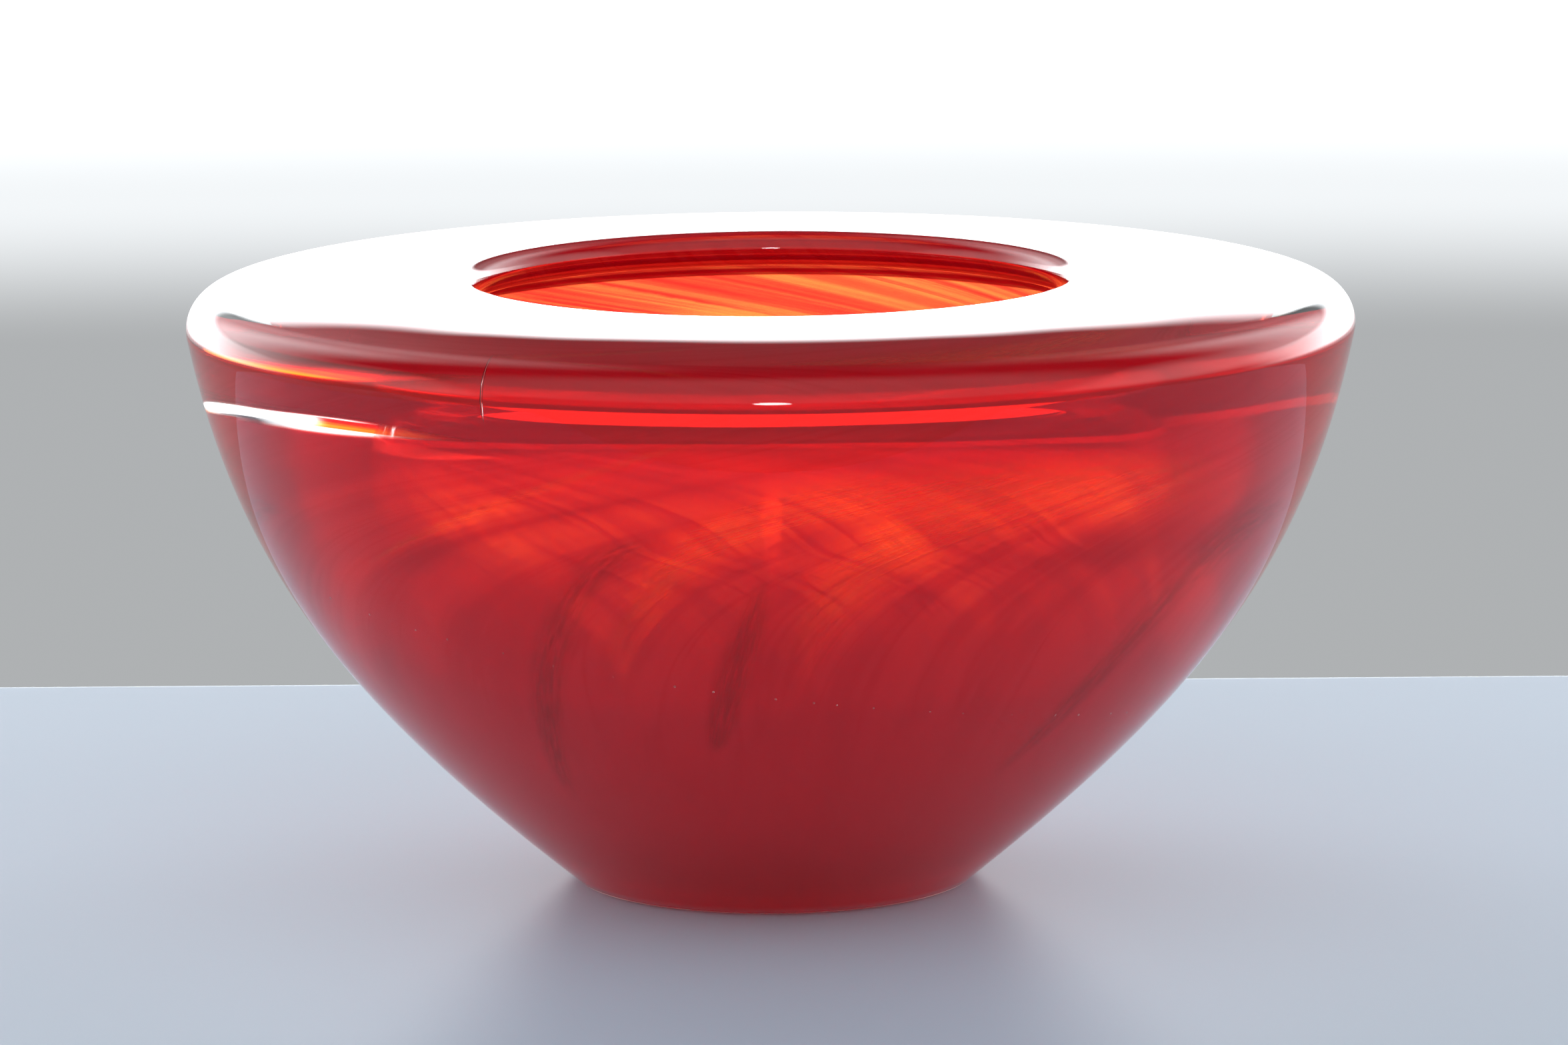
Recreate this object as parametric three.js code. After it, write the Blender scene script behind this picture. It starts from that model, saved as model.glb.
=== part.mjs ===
// Art glass bowl: a thick clear casing with a wide, slightly crowned rim and a small foot, blown around a
// bubble-shaped well. Next to the well lie a clear lining, a red colour layer and, outside the red,
// amber and dark streaks that swirl up from the foot. Millimetres, +Z up, foot centre at the origin.
import * as THREE from 'three';

const SEGMENTS = 48;

// Outside of the bowl.
const HEIGHT = 55;
const OUTER_RADIUS = 52.5;
const FOOT_RADIUS = 18.1;
const SHOULDER_RADIUS = 3.4;
const CROWN_RADIUS = 80;
const CROWN_TILT = THREE.MathUtils.degToRad(9);
const WALL_ANGLE_AT_FOOT = THREE.MathUtils.degToRad(39.5);
const WALL_LEAN_AT_SHOULDER = THREE.MathUtils.degToRad(11.4);
const WALL_HANDLE_AT_FOOT = 0.473;
const WALL_HANDLE_AT_SHOULDER = 0.327;
const FOOT_HOLLOW_RADIUS = 11;
const FOOT_HOLLOW_DEPTH = 0.9;

// The well: a bubble that is wider inside than at its mouth.
const MOUTH_RADIUS = 26.5;
const LIP_RADIUS = 1.6;
const WELL_RADIUS = 35.8;
const WELL_WIDEST_HEIGHT = 38;
const WELL_FLOOR_HEIGHT = 6.5;
const WELL_ROOF_RISE = 0.92;
const WELL_ROOF_REACH = 0.97;

// The glass layers, as distances from the well's surface into the glass.
const LINING_OUT = 0.5;
const RED_IN = 0.9;
const RED_OUT = 1.7;
const AMBER_IN = 2.0;
const DARK_IN = 2.6;
const STREAK_THICKNESS = 0.3;
const CASING_IN = 3.2;

// Where each layer ends, as a fraction of the way from the well's floor centre to its lip.
const LINING_END = 0.955;
const RED_END = 0.935;
const STREAK_CAVITY_END = 0.9;
const LAYER_END_GAP = 0.006;

// On one side the red stops lower, and clear glass shows below the rim there.
const RED_DIP = 0.15;
const RED_DIP_START = THREE.MathUtils.degToRad(110);
const RED_DIP_LEVEL = THREE.MathUtils.degToRad(150);
const RED_DIP_LEVEL_END = THREE.MathUtils.degToRad(205);
const RED_DIP_STOP = THREE.MathUtils.degToRad(250);

// Streaks. Each climbs steeply and then levels out: start azimuth and degrees turned, start and end up
// the well path, how early it levels out, and width.
const AMBER_STREAKS = [
  [212, 56, 0.69, 0.86, 1.3, 1.5],
  [246, 90, 0.56, 0.81, 7, 3.4],
  [270, 68, 0.56, 0.74, 5.5, 3.4],
  [346, 70, 0.53, 0.81, 4, 3.4],
  [48, 65, 0.59, 0.83, 3, 3.4],
  [112, 62, 0.48, 0.80, 4, 3.4],
];
const DARK_STREAKS = [
  [231, 27, 0.35, 0.75, 2.4, 2.6],
  [261, 9, 0.47, 0.73, 1, 2.4],
  [308, 50, 0.38, 0.74, 3, 2.6],
  [14, 55, 0.43, 0.77, 3, 2.6],
  [78, 45, 0.34, 0.75, 2.4, 2.6],
  [150, 50, 0.41, 0.75, 3, 2.6],
];
const STREAK_EASE = 1.5;
const STREAK_TIP = 0.25;
const STREAK_NUDGE = 0.02;
const STREAK_STEPS = 16;

const CLEAR = { color: 0xf4f8fa, transparent: true, opacity: 0.35, roughness: 0.03 };
const RED = { color: 0xc8121a, transparent: true, opacity: 0.6, roughness: 0.1 };
const AMBER = { color: 0xf08a1e, transparent: true, opacity: 0.8, roughness: 0.2 };
const DARK = { color: 0x5a0a16, transparent: true, opacity: 0.8, roughness: 0.2 };

const point = (radius, height) => new THREE.Vector2(radius, height);

function arc(centreRadius, centreHeight, radius, startAngle, endAngle, divisions) {
  const clockwise = endAngle < startAngle;
  return new THREE.EllipseCurve(centreRadius, centreHeight, radius, radius, startAngle, endAngle, clockwise)
    .getPoints(divisions);
}

// The centre of the shoulder's arc, which meets the slightly crowned rim without a crease.
function shoulderCentre() {
  const crownDrop = CROWN_RADIUS * (1 - Math.cos(CROWN_TILT));
  return point(OUTER_RADIUS - SHOULDER_RADIUS, HEIGHT - crownDrop - SHOULDER_RADIUS * Math.cos(CROWN_TILT));
}

// The side of the bowl, from the edge of the foot to the start of the shoulder's arc.
function wallCurve() {
  const foot = point(FOOT_RADIUS, 0);
  const shoulder = shoulderCentre();
  shoulder.x += SHOULDER_RADIUS * Math.cos(WALL_LEAN_AT_SHOULDER);
  shoulder.y -= SHOULDER_RADIUS * Math.sin(WALL_LEAN_AT_SHOULDER);
  const chord = foot.distanceTo(shoulder);
  const leavesFoot = point(Math.cos(WALL_ANGLE_AT_FOOT), Math.sin(WALL_ANGLE_AT_FOOT))
    .multiplyScalar(WALL_HANDLE_AT_FOOT * chord);
  const reachesShoulder = point(Math.sin(WALL_LEAN_AT_SHOULDER), Math.cos(WALL_LEAN_AT_SHOULDER))
    .multiplyScalar(WALL_HANDLE_AT_SHOULDER * chord);
  return new THREE.CubicBezierCurve(
    foot,
    foot.clone().add(leavesFoot),
    shoulder.clone().sub(reachesShoulder),
    shoulder,
  );
}

// The well's surface, from its floor centre up the wall and in under the lip.
function wellPath() {
  const lipUnderside = point(MOUTH_RADIUS + LIP_RADIUS, HEIGHT - 2 * LIP_RADIUS);
  const widest = point(WELL_RADIUS, WELL_WIDEST_HEIGHT);
  const floor = point(0, WELL_FLOOR_HEIGHT);
  const path = new THREE.CurvePath();
  path.add(new THREE.CubicBezierCurve(
    floor,
    point(0.58 * WELL_RADIUS, WELL_FLOOR_HEIGHT),
    point(WELL_RADIUS, THREE.MathUtils.lerp(WELL_WIDEST_HEIGHT, WELL_FLOOR_HEIGHT, 0.55)),
    widest,
  ));
  path.add(new THREE.CubicBezierCurve(
    widest,
    point(WELL_RADIUS, THREE.MathUtils.lerp(WELL_WIDEST_HEIGHT, lipUnderside.y, WELL_ROOF_RISE)),
    point(THREE.MathUtils.lerp(lipUnderside.x, WELL_RADIUS, WELL_ROOF_REACH), lipUnderside.y),
    lipUnderside,
  ));
  return path;
}

const WELL = wellPath();
const WELL_LENGTH = WELL.getLength();

// A point at a given distance into the glass from the well's surface.
function layerPoint(fraction, depth) {
  const surface = WELL.getPoint(fraction);
  const along = WELL.getTangent(fraction);
  const result = surface.add(point(along.y, -along.x).multiplyScalar(depth));
  if (fraction === 0) result.x = 0;
  return result;
}

// Points along one layer surface, between two fractions of the well path.
function layerLine(depth, from, to, divisions) {
  return Array.from({ length: divisions + 1 }, (_, i) => (
    layerPoint(THREE.MathUtils.lerp(from, to, i / divisions), depth)
  ));
}

// How far down the well path the red layer's edge dips at an azimuth.
function redDip(azimuth) {
  const falling = THREE.MathUtils.smoothstep(azimuth, RED_DIP_START, RED_DIP_LEVEL);
  const rising = THREE.MathUtils.smoothstep(azimuth, RED_DIP_LEVEL_END, RED_DIP_STOP);
  return RED_DIP * (falling - rising);
}

// Turns a profile about +Z. The profile may change with azimuth but keeps its number of points.
function revolve(profileAt) {
  const rows = profileAt(0).length;
  const geometry = new THREE.LatheGeometry(profileAt(0), SEGMENTS);
  for (let column = 0; column <= SEGMENTS; column += 1) {
    const azimuth = 2 * Math.PI * (column % SEGMENTS) / SEGMENTS;
    profileAt(azimuth).forEach((p, row) => {
      const x = p.x * Math.cos(azimuth);
      const y = p.x * Math.sin(azimuth);
      geometry.attributes.position.setXYZ(column * rows + row, x, y, p.y);
    });
  }
  geometry.computeVertexNormals();
  return geometry;
}

// Everything outside the colour: foot, wall, shoulder, crowned rim, lip, and the cavity the colour fills.
function clearCasing() {
  const centre = shoulderCentre();
  const crownStart = centre.x + (SHOULDER_RADIUS - CROWN_RADIUS) * Math.sin(CROWN_TILT);
  const outside = [
    point(0, FOOT_HOLLOW_DEPTH),
    point(0.55 * FOOT_HOLLOW_RADIUS, 0.7 * FOOT_HOLLOW_DEPTH),
    point(FOOT_HOLLOW_RADIUS, 0),
    ...wallCurve().getPoints(12),
    ...arc(centre.x, centre.y, SHOULDER_RADIUS,
      -WALL_LEAN_AT_SHOULDER, Math.PI / 2 - CROWN_TILT, 6).slice(1),
    ...arc(crownStart, HEIGHT - CROWN_RADIUS, CROWN_RADIUS,
      Math.PI / 2 - CROWN_TILT, Math.PI / 2, 4).slice(1),
    ...arc(MOUTH_RADIUS + LIP_RADIUS, HEIGHT - LIP_RADIUS, LIP_RADIUS,
      Math.PI / 2, 1.5 * Math.PI, 6),
  ];
  return revolve((azimuth) => {
    const redEnd = RED_END - redDip(azimuth) + LAYER_END_GAP;
    const streakEnd = STREAK_CAVITY_END - redDip(azimuth) + LAYER_END_GAP;
    return [
      ...outside,
      layerPoint(LINING_END + LAYER_END_GAP, 0),
      ...layerLine(RED_IN, LINING_END + LAYER_END_GAP, redEnd, 8),
      ...layerLine(AMBER_IN, redEnd, streakEnd, 2),
      ...layerLine(CASING_IN, streakEnd, 0, 24),
    ];
  });
}

// A cup between two distances from the well's surface, ending at a fraction that may vary.
function cup(innerDepth, outerDepth, endAt) {
  return revolve((azimuth) => [
    ...layerLine(outerDepth, 0, endAt(azimuth), 28),
    ...layerLine(innerDepth, endAt(azimuth), 0, 28),
  ]);
}

// Where a streak's middle line lies at a share of its length: steep at first, then nearly level.
function streakPoint(share, [start, turn, from, to, levelling]) {
  const turned = share ** STREAK_EASE;
  const climbed = 1 - (1 - turned) ** levelling;
  return {
    azimuth: THREE.MathUtils.degToRad(start + turn * turned),
    fraction: THREE.MathUtils.lerp(from, to, climbed),
  };
}

// A flat ribbon that follows the swirl, narrow at both tips and squeezed down where the red dips.
function streakRibbon(streak, innerDepth) {
  const width = streak[5];
  const geometry = new THREE.BoxGeometry(1, 1, 1, STREAK_STEPS, 2, 1);
  const positions = geometry.attributes.position;
  for (let i = 0; i < positions.count; i += 1) {
    const share = positions.getX(i) + 0.5;
    const middle = streakPoint(share, streak);
    const before = streakPoint(Math.max(share - STREAK_NUDGE, 0), streak);
    const after = streakPoint(Math.min(share + STREAK_NUDGE, 1), streak);
    const radius = layerPoint(middle.fraction, innerDepth).x;
    const direction = point(
      radius * (after.azimuth - before.azimuth),
      WELL_LENGTH * (after.fraction - before.fraction),
    ).normalize();
    const taper = Math.max(STREAK_TIP, Math.sin(Math.PI * share));
    const across = positions.getY(i) * width * taper;
    const azimuth = middle.azimuth - across * direction.y / radius;
    const squeeze = 1 - redDip(azimuth % (2 * Math.PI)) / STREAK_CAVITY_END;
    const fraction = squeeze * (middle.fraction + across * direction.x / WELL_LENGTH);
    const depth = innerDepth + STREAK_THICKNESS * (positions.getZ(i) + 0.5);
    const p = layerPoint(fraction, depth);
    positions.setXYZ(i, p.x * Math.cos(azimuth), p.x * Math.sin(azimuth), p.y);
  }
  geometry.computeVertexNormals();
  return geometry;
}

function addMesh(group, name, geometry, look) {
  const mesh = new THREE.Mesh(geometry, new THREE.MeshStandardMaterial(look));
  mesh.name = name;
  group.add(mesh);
}

const bowl = new THREE.Group();
bowl.name = 'art_glass_bowl';
addMesh(bowl, 'clear_casing', clearCasing(), CLEAR);
addMesh(bowl, 'red_layer', cup(RED_IN, RED_OUT, (azimuth) => RED_END - redDip(azimuth)), RED);
addMesh(bowl, 'inner_gather', cup(0, LINING_OUT, () => LINING_END), CLEAR);
AMBER_STREAKS.forEach((streak, i) => {
  addMesh(bowl, `amber_streak_${i + 1}`, streakRibbon(streak, AMBER_IN), AMBER);
});
DARK_STREAKS.forEach((streak, i) => {
  addMesh(bowl, `dark_streak_${i + 1}`, streakRibbon(streak, DARK_IN), DARK);
});

export default bowl;
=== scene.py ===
"""Art glass bowl: thick clear glass blown around a red, swirled bubble, standing on a pale board.

The real glass is fused, so the clear casing and the lining of the well are one refracting body here.
The red layer and the streaks are thin tinted films inside it, which colour light without bending it.
"""

import math

import bmesh
import bpy
from mathutils import Matrix, Vector


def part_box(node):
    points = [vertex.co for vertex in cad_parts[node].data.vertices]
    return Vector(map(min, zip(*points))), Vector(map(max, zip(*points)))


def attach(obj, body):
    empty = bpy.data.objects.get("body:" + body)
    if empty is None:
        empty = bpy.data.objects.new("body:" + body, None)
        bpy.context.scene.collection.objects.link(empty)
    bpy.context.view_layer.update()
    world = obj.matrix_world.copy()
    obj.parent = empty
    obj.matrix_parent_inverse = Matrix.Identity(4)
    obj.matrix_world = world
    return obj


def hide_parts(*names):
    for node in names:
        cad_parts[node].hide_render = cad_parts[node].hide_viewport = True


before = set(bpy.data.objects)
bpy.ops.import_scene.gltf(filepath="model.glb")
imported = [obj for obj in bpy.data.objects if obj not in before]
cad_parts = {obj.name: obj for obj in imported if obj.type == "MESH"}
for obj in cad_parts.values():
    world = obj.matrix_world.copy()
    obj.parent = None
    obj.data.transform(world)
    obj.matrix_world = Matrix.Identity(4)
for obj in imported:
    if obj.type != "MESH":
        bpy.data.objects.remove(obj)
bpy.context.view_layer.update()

# Shapes are worked out in mm and turned into metres by MM.
MM = 0.001
TURN = 2 * math.pi

# The outside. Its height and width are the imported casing's.
_, CASING_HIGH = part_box("clear_casing")
HEIGHT = CASING_HIGH[2] / MM
OUTER_RADIUS = CASING_HIGH[0] / MM
FOOT_RADIUS = 18.1
FOOT_HOLLOW_RADIUS = 11.0
FOOT_HOLLOW_DEPTH = 0.9
SHOULDER_RADIUS = 3.4
CROWN_RADIUS = 80.0
CROWN_TILT = math.radians(9)
WALL_ANGLE_AT_FOOT = math.radians(39.5)
WALL_LEAN_AT_SHOULDER = math.radians(11.4)
WALL_HANDLE_AT_FOOT = 0.473
WALL_HANDLE_AT_SHOULDER = 0.327
WALL_STEPS = 64
SHOULDER_STEPS = 32
CROWN_STEPS = 16
RIM_STEPS = 8
HOLLOW_STEPS = 16

# The well: a bubble that is wider inside than at its mouth.
MOUTH_RADIUS = 26.5
LIP_RADIUS = 1.6
WELL_RADIUS = 35.8
WELL_WIDEST_HEIGHT = 38.0
WELL_FLOOR_HEIGHT = 6.5
FLOOR_REACH = 0.58
BELLY_DROP = 0.55
ROOF_RISE = 0.92
ROOF_REACH = 0.97
WELL_STEPS = 160
FINE_FLOOR_STEPS = 400
FINE_ROOF_STEPS = 200
FINE_LIP_STEPS = 60

# Where the films lie: distances from the well's surface into the glass, and ends along its profile.
RED_IN = 0.5
RED_OUT = 1.1
RED_END = 0.985
RED_STEPS = 110

# A lens of clear glass left in the red, low under the rim on the left.
CLEAR_MIDDLE = math.radians(186)
CLEAR_HEIGHT = 0.803
CLEAR_HALF_HEIGHT = 0.013
CLEAR_FALL = 0.004
CLEAR_TAPER = (math.radians(20), math.radians(56))
CLEAR_EDGE = 0.006

# Each streak: start azimuth and degrees turned, start and end up the well's profile as fractions,
# how early it levels out, and width.
AMBER_STREAKS = (
    (-148, 56, 0.65, 0.815, 1.3, 1.3),
    (-114, 90, 0.52, 0.757, 7.0, 6.0),
    (-90, 68, 0.55, 0.742, 5.5, 8.5),
    (-14, 70, 0.50, 0.765, 4.0, 5.0),
    (48, 65, 0.55, 0.78, 3.0, 4.0),
    (112, 62, 0.45, 0.75, 4.0, 5.5),
)
DARK_STREAKS = (
    (-129, 27, 0.33, 0.70, 2.4, 4.5),
    (-99, 9, 0.44, 0.685, 1.0, 4.2),
    (-52, 50, 0.36, 0.69, 3.0, 5.2),
    (14, 55, 0.40, 0.72, 3.0, 5.0),
    (78, 45, 0.32, 0.70, 2.4, 5.0),
    (150, 50, 0.38, 0.70, 3.0, 4.8),
)
# The streaks lie outside the red, each a little deeper in the glass than the one before it.
STREAK_DEPTH = 1.45
STREAK_THICK = 0.22
STREAK_SPREAD = 0.07
STREAK_STEPS = 72
STREAK_LANES = 12
STREAK_EASE = 1.6
STREAK_TIP = 0.04
STREAK_ROUNDING = 0.6
STREAK_NUDGE = 0.01
STREAK_FADE_IN = 0.12
STREAK_FADE_OUT = 0.72
STREAK_GRAIN = 6
STREAK_GRAIN_SHIFT = 7

# How the red thins under an amber streak: fully on its middle, not at all past its edge.
COVER_CORE = 0.1
COVER_EDGE = 0.62
COVER_NUDGE = 0.02
COVER_FADE_IN = 0.1
COVER_FADE_OUT = 0.7

# The swirl: it hardly turns the glass low down, and winds it round under the rim.
SWIRL_TURN = math.radians(146)
SWIRL_MIDDLE = 0.79
SWIRL_SOFTNESS = 0.06

# A thin sheet of amber glass just inside the left of the shoulder.
VEIL_START = math.radians(179)
VEIL_END = math.radians(244)
VEIL_LOW = math.radians(-12)
VEIL_HIGH = math.radians(36)
VEIL_RADIUS = 2.95
VEIL_THICK = 0.12
VEIL_FADE_IN = 0.15
VEIL_FADE_OUT = 0.8
VEIL_GRAIN = 6
VEIL_STEPS = 60
VEIL_LANES = 10

# Air in the clear glass: one drawn-out bubble in the shoulder, and scattered seeds.
THREAD_AZIMUTHS = (-118.7, -118.1)
THREAD_TOP = (48.6, 53.3)
THREAD_BOTTOM = (50.6, 48.8)
THREAD_RADIUS = 0.13
THREAD_TRIM = 0.02
THREAD_STEPS = 20
THREAD_SIDES = 8
SEED_COUNT = 60
SEED_LOWEST = 16.0
SEED_SPREAD = 34.0
SEED_NEAREST = 1.0
SEED_DEPTH = 3.5
SEED_RADIUS = 0.05
SEED_GROWTH = 0.07
GOLDEN_SHARE = 0.618034
GOLDEN_ANGLE = math.radians(137.508)

# Every turned surface has this many columns.
COLUMNS = 256

# Colours of light through the glass, and of the pigment that scatters it.
NO_TINT = (1.0, 1.0, 1.0, 1)
RED_THIN = (0.94, 0.42, 0.19, 1)
RED_THICK = (0.76, 0.16, 0.12, 1)
RED_LOW = (1.0, 0.3, 0.22, 1)
# Deeper red painted as shade high on the near wall, and also used a little deeper all round the roof.
RED_DEEP_AND_PAINTED_SHADE = (0.82, 0.085, 0.06, 1)
RED_OVER_AMBER = (0.96, 0.5, 0.2, 1)
PIGMENT_THIN = (0.99, 0.026, 0.085, 1)
PIGMENT_THICK = (0.94, 0.01, 0.06, 1)
PIGMENT_LOW = (1.0, 0.015, 0.055, 1)
AMBER_TINT = (1.0, 0.96, 0.86, 1)
AMBER_PIGMENT = (0.99, 0.2, 0.06, 1)
AMBER_HAZE = 0.1
DARK_TINT = (0.88, 0.66, 0.74, 1)
DARK_PIGMENT = (0.65, 0.008, 0.04, 1)
DARK_HAZE = 0.12
VEIL_ORANGE = (1.0, 0.34, 0.05, 1)
VEIL_RED = (0.75, 0.05, 0.03, 1)
GLASS_IOR = 1.5
WAVE_SCALE = 45.0
WAVE_HEIGHT = 0.00012
GROUND_ROUGHNESS = 0.35

# How much of the red film scatters light, at the bottom and high up, and how much of that turns back.
HAZE_LOW = 0.7
HAZE_HIGH = 0.4
TURNED_BACK = 0.4

SILL_COLOUR = (0.46, 0.54, 0.65, 1)
DAYLIGHT = (0.95, 0.98, 1.0, 1)
WINDOW_STRENGTH = 5.0
LAMP_STRENGTH = 25.0

# The camera: distance and height in bowl radii, and how far it is turned down and rolled.
CAMERA_DISTANCE = 12.3
CAMERA_HEIGHT = 2.738
CAMERA_DOWN = math.radians(9.806)
CAMERA_ROLL = math.radians(-0.41)
CAMERA_AIM_ASIDE = 0.00107
CAMERA_LENS = 166.3
CAMERA_SENSOR = 36


def bezier(start, leave, arrive, end, count):
    """Points along a cubic curve, both ends included."""
    points = []
    for i in range(count + 1):
        t = i / count
        weights = ((1 - t) ** 3, 3 * t * (1 - t) ** 2, 3 * t * t * (1 - t), t**3)
        points.append(
            tuple(sum(w * p[k] for w, p in zip(weights, (start, leave, arrive, end))) for k in (0, 1))
        )
    return points


def arc(centre, radius, start, end, count):
    """Points along a circular arc, both ends included."""
    angles = [start + (end - start) * i / count for i in range(count + 1)]
    return [(centre[0] + radius * math.cos(a), centre[1] + radius * math.sin(a)) for a in angles]


def shoulder_centre():
    """(radius, height) of the shoulder arc's centre, which meets the crown of the rim smoothly."""
    crown_drop = CROWN_RADIUS * (1 - math.cos(CROWN_TILT))
    return (OUTER_RADIUS - SHOULDER_RADIUS, HEIGHT - crown_drop - SHOULDER_RADIUS * math.cos(CROWN_TILT))


def wall_profile():
    """(radius, height) points up the outside, from the foot's edge to the top of the shoulder."""
    lean = WALL_LEAN_AT_SHOULDER
    centre = shoulder_centre()
    foot = (FOOT_RADIUS, 0.0)
    top = (centre[0] + SHOULDER_RADIUS * math.cos(lean), centre[1] - SHOULDER_RADIUS * math.sin(lean))
    chord = math.dist(foot, top)
    leave = (
        foot[0] + WALL_HANDLE_AT_FOOT * chord * math.cos(WALL_ANGLE_AT_FOOT),
        foot[1] + WALL_HANDLE_AT_FOOT * chord * math.sin(WALL_ANGLE_AT_FOOT),
    )
    arrive = (
        top[0] - WALL_HANDLE_AT_SHOULDER * chord * math.sin(lean),
        top[1] - WALL_HANDLE_AT_SHOULDER * chord * math.cos(lean),
    )
    crown_tangent = math.pi / 2 - CROWN_TILT
    wall = bezier(foot, leave, arrive, top, WALL_STEPS)
    shoulder = arc(centre, SHOULDER_RADIUS, -lean, crown_tangent, SHOULDER_STEPS)
    crown_start = shoulder[-1][0] - CROWN_RADIUS * math.sin(CROWN_TILT)
    crown_centre = (crown_start, HEIGHT - CROWN_RADIUS)
    crown = arc(crown_centre, CROWN_RADIUS, crown_tangent, math.pi / 2, CROWN_STEPS)
    return wall + shoulder[1:] + crown[1:]


def wall_radius(height):
    """The outside radius at a height between the foot and the shoulder."""
    for low, high in zip(OUTSIDE, OUTSIDE[1:]):
        if low[1] <= height <= high[1]:
            return low[0] + (high[0] - low[0]) * (height - low[1]) / (high[1] - low[1])
    return OUTER_RADIUS


def well_profile(count=WELL_STEPS):
    """Evenly spaced (radius, height) points from the well's floor centre, round the lip, to the rim."""
    lip_centre = (MOUTH_RADIUS + LIP_RADIUS, HEIGHT - LIP_RADIUS)
    underside = (lip_centre[0], lip_centre[1] - LIP_RADIUS)
    widest = (WELL_RADIUS, WELL_WIDEST_HEIGHT)
    floor = (0.0, WELL_FLOOR_HEIGHT)
    floor_handle = (FLOOR_REACH * WELL_RADIUS, WELL_FLOOR_HEIGHT)
    low_handle = WELL_WIDEST_HEIGHT + BELLY_DROP * (WELL_FLOOR_HEIGHT - WELL_WIDEST_HEIGHT)
    high_handle = WELL_WIDEST_HEIGHT + ROOF_RISE * (underside[1] - WELL_WIDEST_HEIGHT)
    roof_handle = underside[0] + ROOF_REACH * (WELL_RADIUS - underside[0])
    roof_arrive = (roof_handle, underside[1])
    rough = bezier(floor, floor_handle, (WELL_RADIUS, low_handle), widest, FINE_FLOOR_STEPS)
    rough += bezier(widest, (WELL_RADIUS, high_handle), roof_arrive, underside, FINE_ROOF_STEPS)[1:]
    rough += arc(lip_centre, LIP_RADIUS, 1.5 * math.pi, 0.5 * math.pi, FINE_LIP_STEPS)[1:]
    travelled = [0.0]
    for a, b in zip(rough, rough[1:]):
        travelled.append(travelled[-1] + math.dist(a, b))
    points = []
    step = 0
    for i in range(count + 1):
        target = travelled[-1] * i / count
        while step < len(rough) - 2 and travelled[step + 1] < target:
            step += 1
        share = (target - travelled[step]) / (travelled[step + 1] - travelled[step])
        share = min(1.0, share)
        before, after = rough[step], rough[step + 1]
        points.append(tuple(before[k] + share * (after[k] - before[k]) for k in (0, 1)))
    return points


OUTSIDE = wall_profile()
WELL = well_profile()
WELL_LENGTH = sum(math.dist(a, b) for a, b in zip(WELL, WELL[1:]))


def layer_point(fraction, depth):
    """(radius, height) at a fraction along the well's profile, at a depth into the glass."""
    place = min(max(fraction, 0.0), 1.0) * (len(WELL) - 1)
    i = min(int(place), len(WELL) - 2)
    share = place - i
    a, b = WELL[i], WELL[i + 1]
    before, after = WELL[max(i - 1, 0)], WELL[min(i + 2, len(WELL) - 1)]
    along = Vector(
        (
            (1 - share) * (b[0] - before[0]) + share * (after[0] - a[0]),
            (1 - share) * (b[1] - before[1]) + share * (after[1] - a[1]),
        )
    ).normalized()
    if i == 0 and share == 0:
        return (0.0, WELL_FLOOR_HEIGHT - depth)
    return (
        a[0] + share * (b[0] - a[0]) + along[1] * depth,
        a[1] + share * (b[1] - a[1]) - along[0] * depth,
    )


def smooth_step(value, start, end):
    """0 at start, 1 at end and eased between them. start may be the larger."""
    share = min(max((value - start) / (end - start), 0.0), 1.0)
    return share * share * (3 - 2 * share)


def in_metres(azimuth, radius, height):
    """A point in metres, from an azimuth and a radius and height in mm."""
    return (radius * math.cos(azimuth) * MM, radius * math.sin(azimuth) * MM, height * MM)


def add_object(name, mesh):
    """Puts a mesh in the scene as a smooth-shaded object."""
    mesh.shade_smooth()
    piece = bpy.data.objects.new(name, mesh)
    bpy.context.scene.collection.objects.link(piece)
    return piece


def revolve(name, rows, columns=COLUMNS):
    """A closed mesh turned about Z.

    rows are functions of azimuth that give (radius, height) in mm, and on a film also how far up the
    well the row lies.
    """
    vertices = []
    climbs = []
    rings = []
    for row in rows:
        if row(0.0)[0] == 0:
            rings.append([len(vertices)] * columns)
            vertices.append((0.0, 0.0, row(0.0)[1] * MM))
            climbs.append(0.0)
            continue
        rings.append(list(range(len(vertices), len(vertices) + columns)))
        for k in range(columns):
            azimuth = TURN * k / columns
            radius, height, *climb = row(azimuth)
            vertices.append(in_metres(azimuth, radius, height))
            climbs.append(climb[0] if climb else 0.0)
    faces = []
    for low, high in zip(rings, rings[1:]):
        for k in range(columns):
            after = (k + 1) % columns
            corners = (low[k], low[after], high[after], high[k])
            faces.append(tuple(dict.fromkeys(corners)))
    mesh = bpy.data.meshes.new(name)
    mesh.from_pydata(vertices, [], faces)
    mesh.update()
    if max(climbs) > 0:
        remember_flow(mesh, climbs)
    return add_object(name, mesh)


def swirl_turn(fraction):
    """How far round the glass has been twisted at a fraction up the well's profile."""
    return SWIRL_TURN / (1 + math.exp((SWIRL_MIDDLE - fraction) / SWIRL_SOFTNESS))


def streak_middle(streak, share):
    """The azimuth and well fraction of a streak's middle line at a share of its turn."""
    start, turned, low, high, levelling, _ = streak
    climbed = 1 - (1 - share) ** levelling
    return math.radians(start + turned * share), low + (high - low) * climbed


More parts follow.
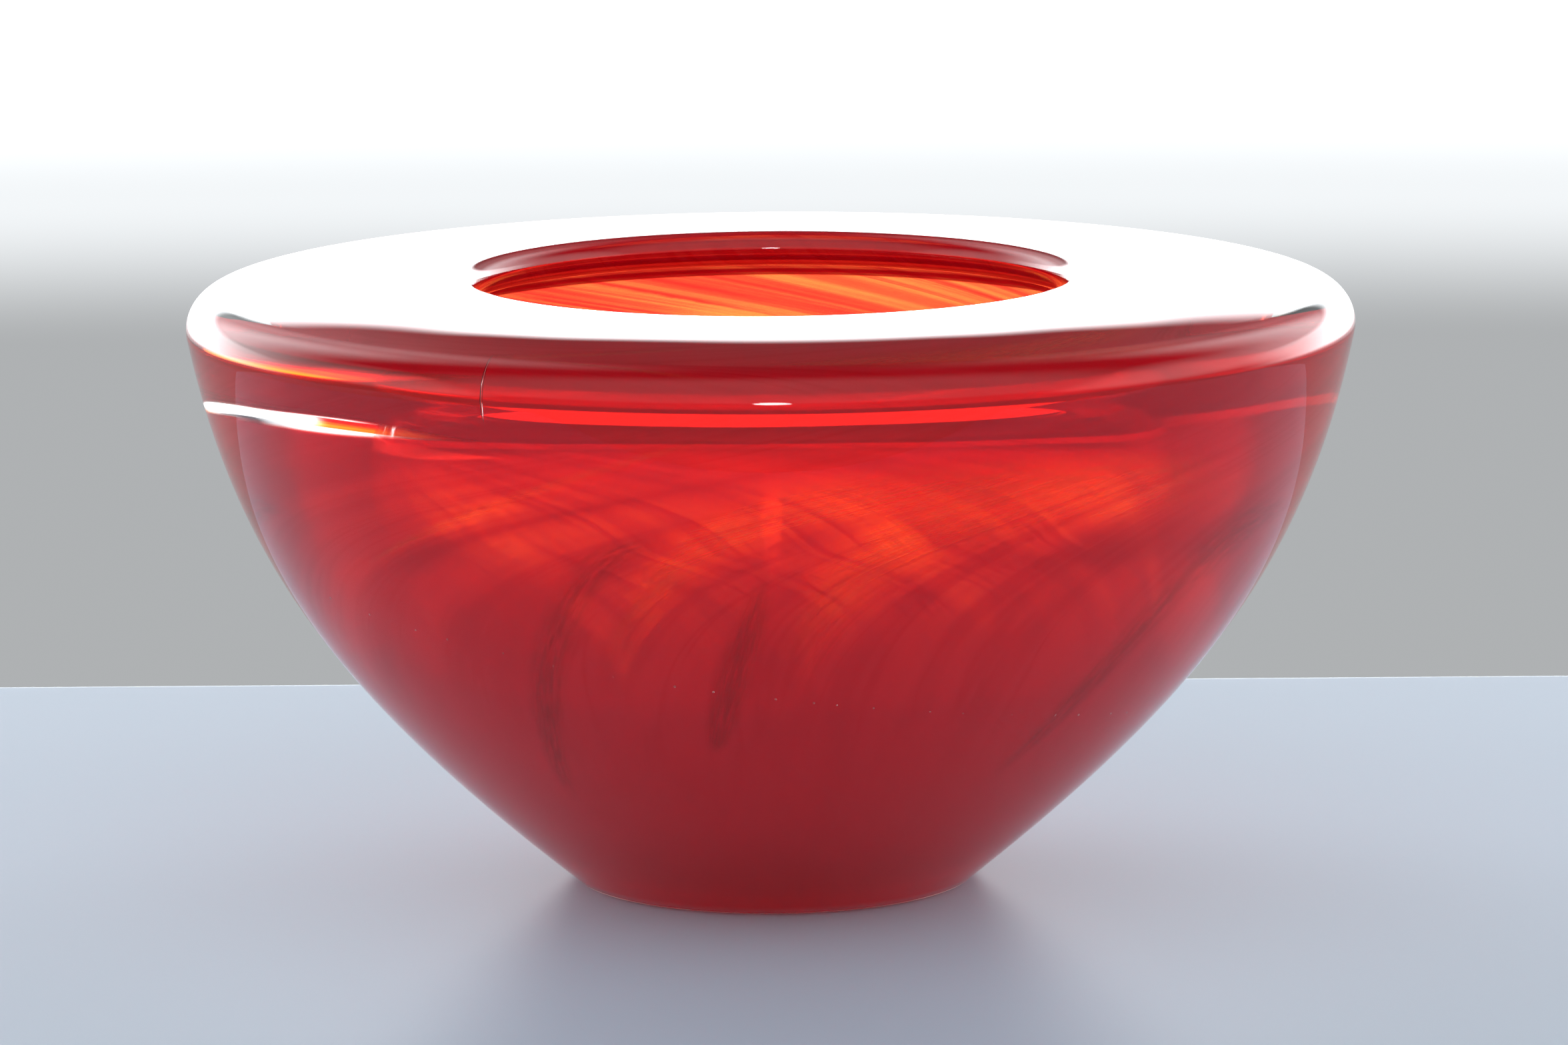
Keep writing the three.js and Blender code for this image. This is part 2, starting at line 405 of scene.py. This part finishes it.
def streak_cover(streak, azimuth, fraction):
    """How much a streak thins the red at a place: 1 on its middle line, 0 outside it."""
    start, turned, width = math.radians(streak[0]), math.radians(streak[1]), streak[5]
    share = ((azimuth - start) % TURN) / turned
    if share >= 1:
        return 0.0
    ahead = streak_middle(streak, min(share + COVER_NUDGE, 1.0))
    behind = streak_middle(streak, share)
    rise = (ahead[1] - behind[1]) * WELL_LENGTH
    run = (ahead[0] - behind[0]) * WELL_RADIUS
    level = run / math.hypot(run, rise) if run else 1.0
    off = abs(fraction - behind[1]) * WELL_LENGTH * level
    tips = smooth_step(share, 0.0, COVER_FADE_IN) * smooth_step(share, 1.0, COVER_FADE_OUT)
    return tips * (1 - smooth_step(off, COVER_CORE * width, COVER_EDGE * width))


def remember_flow(mesh, climbs):
    """Stores what the red glass's look needs at each point.

    That is where it was in the glass before the swirl, how far up the well it lies, how far round it is
    from the clear lens, and how much an amber streak thins the red there.
    """
    flow, patch, amber = [], [], []
    for vertex, fraction in zip(mesh.vertices, climbs):
        azimuth = math.atan2(vertex.co.y, vertex.co.x)
        before = azimuth - swirl_turn(fraction)
        flow += [math.cos(before), math.sin(before), fraction]
        patch.append(math.pi - abs((azimuth - CLEAR_MIDDLE) % TURN - math.pi))
        amber.append(max(streak_cover(streak, azimuth, fraction) for streak in AMBER_STREAKS))
    mesh.attributes.new("flow", "FLOAT_VECTOR", "POINT").data.foreach_set("vector", flow)
    for name, values in (("climb", climbs), ("from_lens", patch), ("amber", amber)):
        mesh.attributes.new(name, "FLOAT", "POINT").data.foreach_set("value", values)


def streak_ribbon(name, streak, depth, steps=STREAK_STEPS, lanes=STREAK_LANES):
    """A thin closed ribbon beside the red, that climbs steeply and then levels out round the well."""
    start, width = streak[0], streak[5]
    vertices, strands, tips = [], [], []
    travelled = 0.0
    spine = None
    for i in range(steps + 1):
        share = (i / steps) ** STREAK_EASE
        azimuth, fraction = streak_middle(streak, share)
        ahead = streak_middle(streak, min(share + STREAK_NUDGE, 1.0))
        behind = streak_middle(streak, max(share - STREAK_NUDGE, 0.0))
        radius = layer_point(fraction, depth)[0]
        run, rise = radius * (ahead[0] - behind[0]), WELL_LENGTH * (ahead[1] - behind[1])
        step = Vector((run, rise)).normalized()
        swell = math.sin(math.pi * min(1.0, STREAK_TIP + share)) ** STREAK_ROUNDING
        half = 0.5 * width * max(STREAK_TIP, swell)
        here = (radius * azimuth, WELL_LENGTH * fraction)
        travelled += math.dist(spine or here, here)
        spine = here
        for layer in (depth, depth + STREAK_THICK):
            for j in range(lanes + 1):
                across = 2 * j / lanes - 1
                turn = azimuth - across * half * step[1] / radius
                r, z = layer_point(fraction + across * half * step[0] / WELL_LENGTH, layer)
                vertices.append(in_metres(turn, r, z))
                strands += [across, travelled / STREAK_GRAIN, start / STREAK_GRAIN_SHIFT]
                tip = smooth_step(share, 0.0, STREAK_FADE_IN) * smooth_step(share, 1.0, STREAK_FADE_OUT)
                tips.append(tip)
    return thin_sheet(name, vertices, strands, tips, steps, lanes)


def thin_sheet(name, vertices, strands, tips, steps, lanes):
    """Closes a thin sheet whose points come step by step: one face's lanes, then the other's.

    strands place each point across and along the sheet, and tips fade the sheet out at its ends.
    """
    ring = 2 * (lanes + 1)
    faces = []
    for i in range(steps):
        near, far = i * ring, (i + 1) * ring
        for j in range(lanes):
            faces.append((near + j, near + j + 1, far + j + 1, far + j))
            upper = lanes + 1 + j
            faces.append((near + upper, far + upper, far + upper + 1, near + upper + 1))
        faces.append((near, far, far + lanes + 1, near + lanes + 1))
        faces.append((near + lanes, near + 2 * lanes + 1, far + 2 * lanes + 1, far + lanes))
    for end, flip in ((0, False), (steps * ring, True)):
        for j in range(lanes):
            corners = (end + j, end + lanes + 1 + j, end + lanes + 2 + j, end + j + 1)
            faces.append(corners[::-1] if flip else corners)
    mesh = bpy.data.meshes.new(name)
    mesh.from_pydata(vertices, [], faces)
    mesh.update()
    mesh.attributes.new("strand", "FLOAT_VECTOR", "POINT").data.foreach_set("vector", strands)
    mesh.attributes.new("tip", "FLOAT", "POINT").data.foreach_set("value", tips)
    return add_object(name, mesh)


def shoulder_veil(steps=VEIL_STEPS, lanes=VEIL_LANES):
    """A thin curved sheet of amber glass just inside the shoulder, over the clear lens."""
    centre = shoulder_centre()
    vertices, strands, tips = [], [], []
    for i in range(steps + 1):
        share = i / steps
        azimuth = VEIL_START + (VEIL_END - VEIL_START) * share
        for layer in (0.0, VEIL_THICK):
            for j in range(lanes + 1):
                inward = j / lanes
                tilt = VEIL_LOW + (VEIL_HIGH - VEIL_LOW) * inward
                reach = VEIL_RADIUS - layer
                radius = centre[0] + reach * math.cos(tilt)
                height = centre[1] + reach * math.sin(tilt)
                vertices.append(in_metres(azimuth, radius, height))
                strands += [2 * inward - 1, VEIL_GRAIN * share, 0.0]
                tip = smooth_step(share, 0.0, VEIL_FADE_IN) * smooth_step(share, 1.0, VEIL_FADE_OUT)
                tips.append(tip)
    return thin_sheet("shoulder_veil", vertices, strands, tips, steps, lanes)


def air_thread(shells):
    """One long drawn-out bubble that comes down through the shoulder."""
    start, end = (math.radians(angle) for angle in THREAD_AZIMUTHS)
    top, bottom = THREAD_TOP, THREAD_BOTTOM
    angles = [TURN * k / THREAD_SIDES for k in range(THREAD_SIDES)]
    rings = []
    for i in range(THREAD_STEPS + 1):
        share = i / THREAD_STEPS
        azimuth = start + (end - start) * share * share
        radius = top[0] + (bottom[0] - top[0]) * math.sin(0.5 * math.pi * share)
        height = top[1] + (bottom[1] - top[1]) * share
        bulge = math.sin(math.pi * (THREAD_TRIM + (1 - 2 * THREAD_TRIM) * share))
        thick = THREAD_RADIUS * math.sqrt(bulge)
        centre = Vector((radius * math.cos(azimuth), radius * math.sin(azimuth), height))
        outward = Vector((math.cos(azimuth), math.sin(azimuth), 0))
        side = outward.cross(Vector((0, 0, 1)))
        around = [centre + thick * (math.cos(a) * outward + math.sin(a) * side) for a in angles]
        rings.append([shells.verts.new(point) for point in around])
    for low, high in zip(rings, rings[1:]):
        for k in range(THREAD_SIDES):
            shells.faces.new((low[k], low[k - 1], high[k - 1], high[k]))
    shells.faces.new(rings[0])
    shells.faces.new(rings[-1][::-1])


def air_seed(shells, number):
    """One tiny round bubble. Golden-ratio steps spread the seeds evenly and without a pattern."""
    azimuth = number * GOLDEN_ANGLE
    height = SEED_LOWEST + SEED_SPREAD * ((number * GOLDEN_SHARE) % 1)
    radius = wall_radius(height) - SEED_NEAREST - SEED_DEPTH * ((number * GOLDEN_SHARE * 3) % 1)
    spot = Matrix.Translation((radius * math.cos(azimuth), radius * math.sin(azimuth), height))
    size = SEED_RADIUS + SEED_GROWTH * ((number * GOLDEN_SHARE * 7) % 1)
    bmesh.ops.create_icosphere(shells, subdivisions=2, radius=size, matrix=spot)


def air_bubbles():
    """The drawn-out bubble and the seeds, as small closed shells of air."""
    shells = bmesh.new()
    air_thread(shells)
    for number in range(SEED_COUNT):
        air_seed(shells, number)
    bmesh.ops.scale(shells, vec=(MM, MM, MM), verts=shells.verts)
    bmesh.ops.recalc_face_normals(shells, faces=shells.faces)
    mesh = bpy.data.meshes.new("air_bubbles")
    shells.to_mesh(mesh)
    shells.free()
    return add_object("air_bubbles", mesh)


def fixed(point):
    """A profile point that is the same at every azimuth."""
    return lambda azimuth: point


def glass_rows():
    """The whole refracting surface: foot, wall, shoulder, crowned rim, lip and well."""
    centre = (0.0, FOOT_HOLLOW_DEPTH)
    leave = (0.6 * FOOT_HOLLOW_RADIUS, FOOT_HOLLOW_DEPTH)
    arrive = (0.8 * FOOT_HOLLOW_RADIUS, 0.3 * FOOT_HOLLOW_DEPTH)
    foot = bezier(centre, leave, arrive, (FOOT_HOLLOW_RADIUS, 0.0), HOLLOW_STEPS)
    foot += [(0.5 * (FOOT_HOLLOW_RADIUS + FOOT_RADIUS), 0.0)]
    rim_outer = OUTSIDE[-1][0]
    rim_inner = MOUTH_RADIUS + LIP_RADIUS
    rim_width = rim_inner - rim_outer
    rim = [(rim_outer + rim_width * i / RIM_STEPS, HEIGHT) for i in range(1, RIM_STEPS)]
    return [fixed(p) for p in foot + OUTSIDE + rim + WELL[::-1]]


def film_rows(inner, outer, steps=RED_STEPS):
    """A thin shell between two depths from the well's surface, ending in the lip."""

    def at(share, depth):
        def row(azimuth):
            return (*layer_point(share * RED_END, depth), share * RED_END)

        return row

    outside = [at(i / steps, outer) for i in range(steps + 1)]
    inside = [at(i / steps, inner) for i in range(steps, -1, -1)]
    return outside + inside


def material(name):
    """A new material and its empty node tree."""
    made = bpy.data.materials.new(name)
    made.use_nodes = True
    made.node_tree.nodes.clear()
    return made, made.node_tree


class Nodes:
    """Short ways to add and link the shader nodes of one material."""

    def __init__(self, tree):
        self.tree = tree

    def add(self, kind, inputs=None, **settings):
        """A new node. Inputs are sockets to link or values to set on the node itself."""
        node = self.tree.nodes.new(kind)
        for key, value in settings.items():
            setattr(node, key, value)
        for key, value in (inputs or {}).items():
            if isinstance(value, bpy.types.NodeSocket):
                self.tree.links.new(value, node.inputs[key])
            else:
                node.inputs[key].default_value = value
        return node

    def attribute(self, name, socket="Vector"):
        return self.add("ShaderNodeAttribute", attribute_name=name).outputs[socket]

    def stretched(self, vector, scale):
        return self.add("ShaderNodeVectorMath", {0: vector, 1: scale}, operation="MULTIPLY").outputs[0]

    def noise(self, vector, scale, detail=3.0, roughness=0.55, distortion=0.0):
        inputs = {"Vector": vector, "Scale": scale, "Detail": detail}
        inputs.update({"Roughness": roughness, "Distortion": distortion})
        return self.add("ShaderNodeTexNoise", inputs).outputs["Fac"]

    def span(self, value, start, end, low, high):
        """value from start..end becomes low..high, smoothly, and stays within them."""
        inputs = {0: value, 1: start, 2: end, 3: low, 4: high}
        return self.add("ShaderNodeMapRange", inputs, interpolation_type="SMOOTHSTEP").outputs[0]

    def math(self, operation, first, second):
        return self.add("ShaderNodeMath", {0: first, 1: second}, operation=operation).outputs[0]

    def blend(self, share, first, second):
        inputs = {0: share, 6: first, 7: second}
        return self.add("ShaderNodeMix", inputs, data_type="RGBA").outputs[2]

    def mix(self, share, first, second):
        return self.add("ShaderNodeMixShader", {0: share, 1: first, 2: second}).outputs[0]

    def surface(self, shader):
        self.add("ShaderNodeOutputMaterial", {"Surface": shader})


def glass_material():
    """Clear glass with the slight waves of hand work, polished but for its ground foot ring."""
    made, tree = material("clear_crystal")
    n = Nodes(tree)
    here = n.add("ShaderNodeTexCoord").outputs["Object"]
    height = n.add("ShaderNodeSeparateXYZ", {0: here}).outputs["Z"]
    waves = n.noise(here, WAVE_SCALE, detail=1.0)
    bump = n.add("ShaderNodeBump", {"Strength": 1.0, "Distance": WAVE_HEIGHT, "Height": waves}).outputs[0]
    inputs = {"Roughness": n.span(height, 0.00005, 0.0003, GROUND_ROUGHNESS, 0.0), "Normal": bump}
    glass = n.add("ShaderNodeBsdfGlass", inputs)
    glass.inputs["IOR"].default_value = GLASS_IOR
    n.surface(glass.outputs[0])
    return made


def air_material():
    """Air shut inside the glass: light bends the other way on the way in."""
    made, tree = material("trapped_air")
    n = Nodes(tree)
    n.surface(n.add("ShaderNodeBsdfGlass", {"Roughness": 0.0, "IOR": 1 / GLASS_IOR}).outputs[0])
    return made


def clear_lens(n, climb):
    """1 inside the lens of clear glass that the red leaves open, 0 outside it."""
    away = n.attribute("from_lens", "Fac")
    half = n.span(away, CLEAR_TAPER[0], CLEAR_TAPER[1], CLEAR_HALF_HEIGHT, 0.0)
    middle = n.span(away, CLEAR_TAPER[0], CLEAR_TAPER[1], CLEAR_HEIGHT, CLEAR_HEIGHT - CLEAR_FALL)
    off = n.math("ABSOLUTE", n.math("SUBTRACT", climb, middle), 0.0)
    return n.span(n.math("SUBTRACT", half, off), 0.0, CLEAR_EDGE, 0.0, 1.0)


def red_mottle(n, flow):
    """Uneven colour drawn out along the swirl: fine hairs, clouds, veils and single threads."""
    hairs = n.noise(n.stretched(flow, (9.0, 9.0, 2.2)), 4.0, detail=6.0, roughness=0.62)
    clouds = n.noise(n.stretched(flow, (1.0, 1.0, 2.4)), 2.6, detail=4.0, roughness=0.5)
    veils_flow = n.stretched(flow, (3.0, 3.0, 0.7))
    veils = n.noise(veils_flow, 2.6, detail=6.0, roughness=0.6, distortion=0.3)
    threads_flow = n.stretched(flow, (2.4, 2.4, 0.5))
    threads = n.noise(threads_flow, 3.0, detail=3.0, roughness=0.5, distortion=0.5)
    off_thread = n.math("ABSOLUTE", n.math("SUBTRACT", threads, 0.5), 0.0)
    thread = n.span(off_thread, 0.0, 0.025, 0.8, 0.0)
    mottle = n.math("ADD", n.span(hairs, 0.4, 0.7, 0.0, 0.35), n.span(clouds, 0.4, 0.64, 0.0, 0.3))
    mottle = n.math("ADD", mottle, n.span(veils, 0.46, 0.58, 0.0, 0.5))
    return n.math("MINIMUM", n.math("ADD", mottle, thread), 1.3)


def deep_red_and_painted_shade(n, climb):
    """1 where the red is made deeper: high on the near wall, the side facing the camera, as painted
    shade, and a little less all round the roof.
    """
    place = n.add("ShaderNodeSeparateXYZ", {0: n.add("ShaderNodeTexCoord").outputs["Object"]})
    # Painted shade: the red is darkened only on the side of the bowl that faces the camera.
    painted_shade_near_side = n.span(place.outputs["Y"], -0.01, 0.01, 1.0, 0.0)
    high = n.math("MULTIPLY", n.span(climb, 0.72, 0.81, 0.0, 1.0), painted_shade_near_side)
    return n.math("MAXIMUM", high, n.span(climb, 0.84, 0.92, 0.0, 0.8))


def red_material():
    """Red glass: clear enough to see through, with a haze of fine pigment, denser low down."""
    made, tree = material("red_film")
    n = Nodes(tree)
    flow = n.attribute("flow")
    climb = n.attribute("climb", "Fac")
    mottle = red_mottle(n, flow)
    high = deep_red_and_painted_shade(n, climb)
    low = n.span(climb, 0.35, 0.68, 0.8, 0.0)
    combed = n.noise(n.stretched(flow, (16.0, 16.0, 1.5)), 5.0, detail=5.0, roughness=0.7)
    amber = n.math("MULTIPLY", n.attribute("amber", "Fac"), n.span(combed, 0.3, 0.62, 0.25, 1.0))
    lens = clear_lens(n, climb)
    tint = n.blend(low, n.blend(mottle, RED_THIN, RED_THICK), RED_LOW)
    tint = n.blend(amber, tint, RED_OVER_AMBER)
    # Painted shade: deeper red high on the near wall, and a little round the roof.
    tint = n.blend(lens, n.blend(high, tint, RED_DEEP_AND_PAINTED_SHADE), NO_TINT)
    clear = n.add("ShaderNodeBsdfTransparent", {"Color": tint}).outputs[0]
    pigment = n.blend(low, n.blend(mottle, PIGMENT_THIN, PIGMENT_THICK), PIGMENT_LOW)
    through = n.add("ShaderNodeBsdfTranslucent", {"Color": pigment}).outputs[0]
    back = n.add("ShaderNodeBsdfDiffuse", {"Color": pigment}).outputs[0]
    haze = n.mix(TURNED_BACK, through, back)
    thickness = n.span(climb, 0.45, 0.75, HAZE_LOW, HAZE_HIGH)
    cover = n.math("MULTIPLY", thickness, n.span(amber, 0.0, 1.0, 1.0, 0.75))
    cover = n.math("MULTIPLY", cover, n.math("SUBTRACT", 1.0, lens))
    n.surface(n.mix(cover, clear, haze))
    return made


def streak_material(name, tint, pigment, haze):
    """A soft-edged ribbon of coloured glass, combed into fine lines along its length."""
    made, tree = material(name)
    n = Nodes(tree)
    strand = n.attribute("strand")
    across = n.add("ShaderNodeSeparateXYZ", {0: strand})
    combed = n.stretched(strand, (3.2, 1.1, 1.0))
    lines = n.noise(combed, 1.7, detail=6.0, roughness=0.66, distortion=0.25)
    edge = n.span(n.math("ABSOLUTE", across.outputs[0], 0.0), 0.0, 1.0, 1.0, 0.0)
    tip = n.attribute("tip", "Fac")
    body = n.math("MULTIPLY", n.math("MULTIPLY", edge, tip), n.span(lines, 0.3, 0.66, 0.15, 1.0))
    clear = n.add("ShaderNodeBsdfTransparent", {"Color": n.blend(body, NO_TINT, tint)}).outputs[0]
    through = n.add("ShaderNodeBsdfTranslucent", {"Color": pigment}).outputs[0]
    back = n.add("ShaderNodeBsdfDiffuse", {"Color": pigment}).outputs[0]
    cover = n.math("MULTIPLY", body, haze)
    n.surface(n.mix(cover, clear, n.mix(0.5, through, back)))
    return made


def veil_material():
    """Clear amber glass in fine strips, orange low down to deep red higher up the shoulder."""
    made, tree = material("amber_veil")
    n = Nodes(tree)
    strand = n.attribute("strand")
    across = n.add("ShaderNodeSeparateXYZ", {0: strand}).outputs[0]
    strips = n.noise(n.stretched(strand, (3.5, 0.25, 1.0)), 1.6, detail=4.0)
    redness = n.span(n.math("ADD", across, n.math("MULTIPLY", strips, 1.2)), 0.1, 1.0, 0.0, 1.0)
    tint = n.blend(redness, VEIL_ORANGE, VEIL_RED)
    edge = n.span(n.math("ABSOLUTE", across, 0.0), 0.8, 1.0, 1.0, 0.0)
    body = n.math("MULTIPLY", n.attribute("tip", "Fac"), edge)
    n.surface(n.add("ShaderNodeBsdfTransparent", {"Color": n.blend(body, NO_TINT, tint)}).outputs[0])
    return made


def place(piece, look, nodes, slot):
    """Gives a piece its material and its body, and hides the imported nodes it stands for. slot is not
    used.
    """
    piece.data.materials.append(look)
    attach(piece, "root")
    if nodes:
        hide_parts(*nodes)


def bowl():
    """Every piece of the bowl: its glass, the red film, the air, the veil and the streaks."""
    body = revolve("bowl_glass", glass_rows())
    place(body, glass_material(), ("clear_casing", "inner_gather"), "clear_glass")
    red = revolve("red_film", film_rows(RED_IN, RED_OUT))
    place(red, red_material(), ("red_layer",), "red_glass")
    place(air_bubbles(), air_material(), (), "clear_glass")
    place(shoulder_veil(), veil_material(), (), "amber_glass")
    amber_look = streak_material("amber_swirl", AMBER_TINT, AMBER_PIGMENT, AMBER_HAZE)
    dark_look = streak_material("dark_swirl", DARK_TINT, DARK_PIGMENT, DARK_HAZE)
    kinds = (("amber", amber_look, AMBER_STREAKS), ("dark", dark_look, DARK_STREAKS))
    for colour, look, streaks in kinds:
        for number, streak in enumerate(streaks, 1):
            lift = STREAK_SPREAD * (2 * number + (colour == "dark"))
            ribbon = streak_ribbon(f"{colour}_swirl_{number}", streak, STREAK_DEPTH + lift)
            place(ribbon, look, (f"{colour}_streak_{number}",), f"{colour}_glass")


def sill():
    """A pale painted board under the bowl, deep enough to stand it on, with rounded edges."""
    length = 0.7
    back = 0.094
    front = -0.112
    thick = 0.022
    gap = 0.0002
    bpy.ops.mesh.primitive_cube_add(size=1, location=(0, (back + front) / 2, -thick / 2 - gap))
    board = bpy.context.object
    board.name = "sill"
    board.scale = (length, back - front, thick)
    bpy.ops.object.transform_apply(scale=True)
    rounding = board.modifiers.new("rounding", "BEVEL")
    rounding.width = 0.004
    rounding.segments = 6
    made, tree = material("pale_paint")
    n = Nodes(tree)
    paint = {"Base Color": SILL_COLOUR, "Specular IOR Level": 0.1, "Roughness": 0.45}
    n.surface(n.add("ShaderNodeBsdfPrincipled", paint).outputs[0])
    board.data.materials.append(made)


def behind(n, axes):
    """1 in the directions behind the bowl, where the window is, and 0 in the room's."""
    return n.span(axes["Y"], 0.2, 0.75, 0.0, 1.0)


def below_window_top(n, axes):
    """1 below the window's top edge and 0 above it."""
    return n.span(axes["Z"], 0.21, 0.29, 1.0, 0.0)


def window_light(n, axes):
    """A wide bright window behind the bowl, from just under the horizon to its top edge."""
    above = n.span(axes["Z"], -0.125, -0.05, 0.0, 1.0)
    glow = n.math("MULTIPLY", n.math("MULTIPLY", above, below_window_top(n, axes)), behind(n, axes))
    return n.math("MULTIPLY", glow, WINDOW_STRENGTH)


def room_light(n, axes):
    """The dim room in front and overhead, the ground outside, and light from both sides."""
    up, across = axes["Z"], axes["Y"]
    low_room = n.math("MULTIPLY", n.span(across, -0.4, 0.5, 0.4, 0.45), n.span(up, 0.1, 0.25, 1.0, 0.2))
    overhead = n.math("MULTIPLY", n.span(up, 0.0, 0.25, 0.0, 1.0), n.span(across, -0.4, 0.1, 0.8, 0.08))
    ground = n.math("MULTIPLY", n.span(up, -0.5, -0.2, 1.3, 0.0), behind(n, axes))
    sideways = n.span(n.math("ABSOLUTE", axes["X"], 0.0), 0.7, 0.97, 0.0, 1.8)
    beside = n.math("MULTIPLY", sideways, n.span(up, -0.1, 0.15, 0.0, 1.0))
    brightest = low_room
    for part in (overhead, ground, beside):
        brightest = n.math("MAXIMUM", brightest, part)
    return brightest


def corner_light(n, axes):
    """Pale walls above the window, brighter on its left and far out to both sides."""
    left = n.span(axes["X"], -0.3, -0.04, 1.2, 0.0)
    far_out = n.span(n.math("ABSOLUTE", axes["X"], 0.0), 0.3, 0.55, 0.0, 2.5)
    right = n.span(axes["X"], 0.04, 0.3, 0.0, 0.5)
    walls = n.math("ADD", n.math("ADD", left, far_out), right)
    high = n.math("MULTIPLY", walls, n.span(axes["Z"], 0.2, 0.3, 0.0, 1.0))
    return n.math("MULTIPLY", high, behind(n, axes))


def horizon_light(n, axes):
    """A pale backdrop from just under the horizon up to the window's top edge."""
    backdrop = n.math("MULTIPLY", n.span(axes["Z"], -0.145, -0.125, 0.0, 0.5), behind(n, axes))
    return n.math("MULTIPLY", backdrop, below_window_top(n, axes))


def lamp_light(n, way):
    """One small lamp in the room in front of the bowl."""
    inputs = {0: way, 1: Vector((0, -1, 0.15)).normalized()}
    off = n.add("ShaderNodeVectorMath", inputs, operation="DISTANCE").outputs["Value"]
    return n.span(off, 0.05, 0.07, LAMP_STRENGTH, 0.0)


def sky():
    """The light around the bowl. Each part of it is a brightness worked out from the direction."""
    world = bpy.data.worlds.new("studio")
    bpy.context.scene.world = world
    world.use_nodes = True
    n = Nodes(world.node_tree)
    way = n.add("ShaderNodeTexCoord").outputs["Generated"]
    axes = n.add("ShaderNodeSeparateXYZ", {0: way}).outputs
    strength = room_light(n, axes)
    for light in (corner_light, horizon_light, window_light):
        strength = n.math("ADD", strength, light(n, axes))
    strength = n.math("ADD", strength, lamp_light(n, way))
    background = world.node_tree.nodes["Background"]
    background.inputs["Color"].default_value = DAYLIGHT
    world.node_tree.links.new(strength, background.inputs["Strength"])


def camera():
    """A long lens, looking a little down on the front of the bowl."""
    data = bpy.data.cameras.new("camera")
    holder = bpy.data.objects.new("camera", data)
    bpy.context.scene.collection.objects.link(holder)
    bpy.context.scene.camera = holder
    data.sensor_width = CAMERA_SENSOR
    data.lens = CAMERA_LENS
    data.clip_start = 0.01
    distance = CAMERA_DISTANCE * OUTER_RADIUS * MM
    height = CAMERA_HEIGHT * OUTER_RADIUS * MM
    holder.location = (0, -distance, height)
    aim = Vector((CAMERA_AIM_ASIDE, 0, height - distance * math.tan(CAMERA_DOWN)))
    look = (aim - holder.location).to_track_quat("-Z", "Y")
    roll = Matrix.Rotation(CAMERA_ROLL, 4, "Z").to_quaternion()
    holder.rotation_mode = "QUATERNION"
    holder.rotation_quaternion = look @ roll


def light_paths():
    """Enough bounces for light to get through all the glass and films."""
    scene = bpy.context.scene
    scene.cycles.max_bounces = 24
    scene.cycles.transmission_bounces = 24
    scene.cycles.transparent_max_bounces = 32
    scene.view_settings.view_transform = "Standard"


bowl()
sill()
sky()
camera()
light_paths()
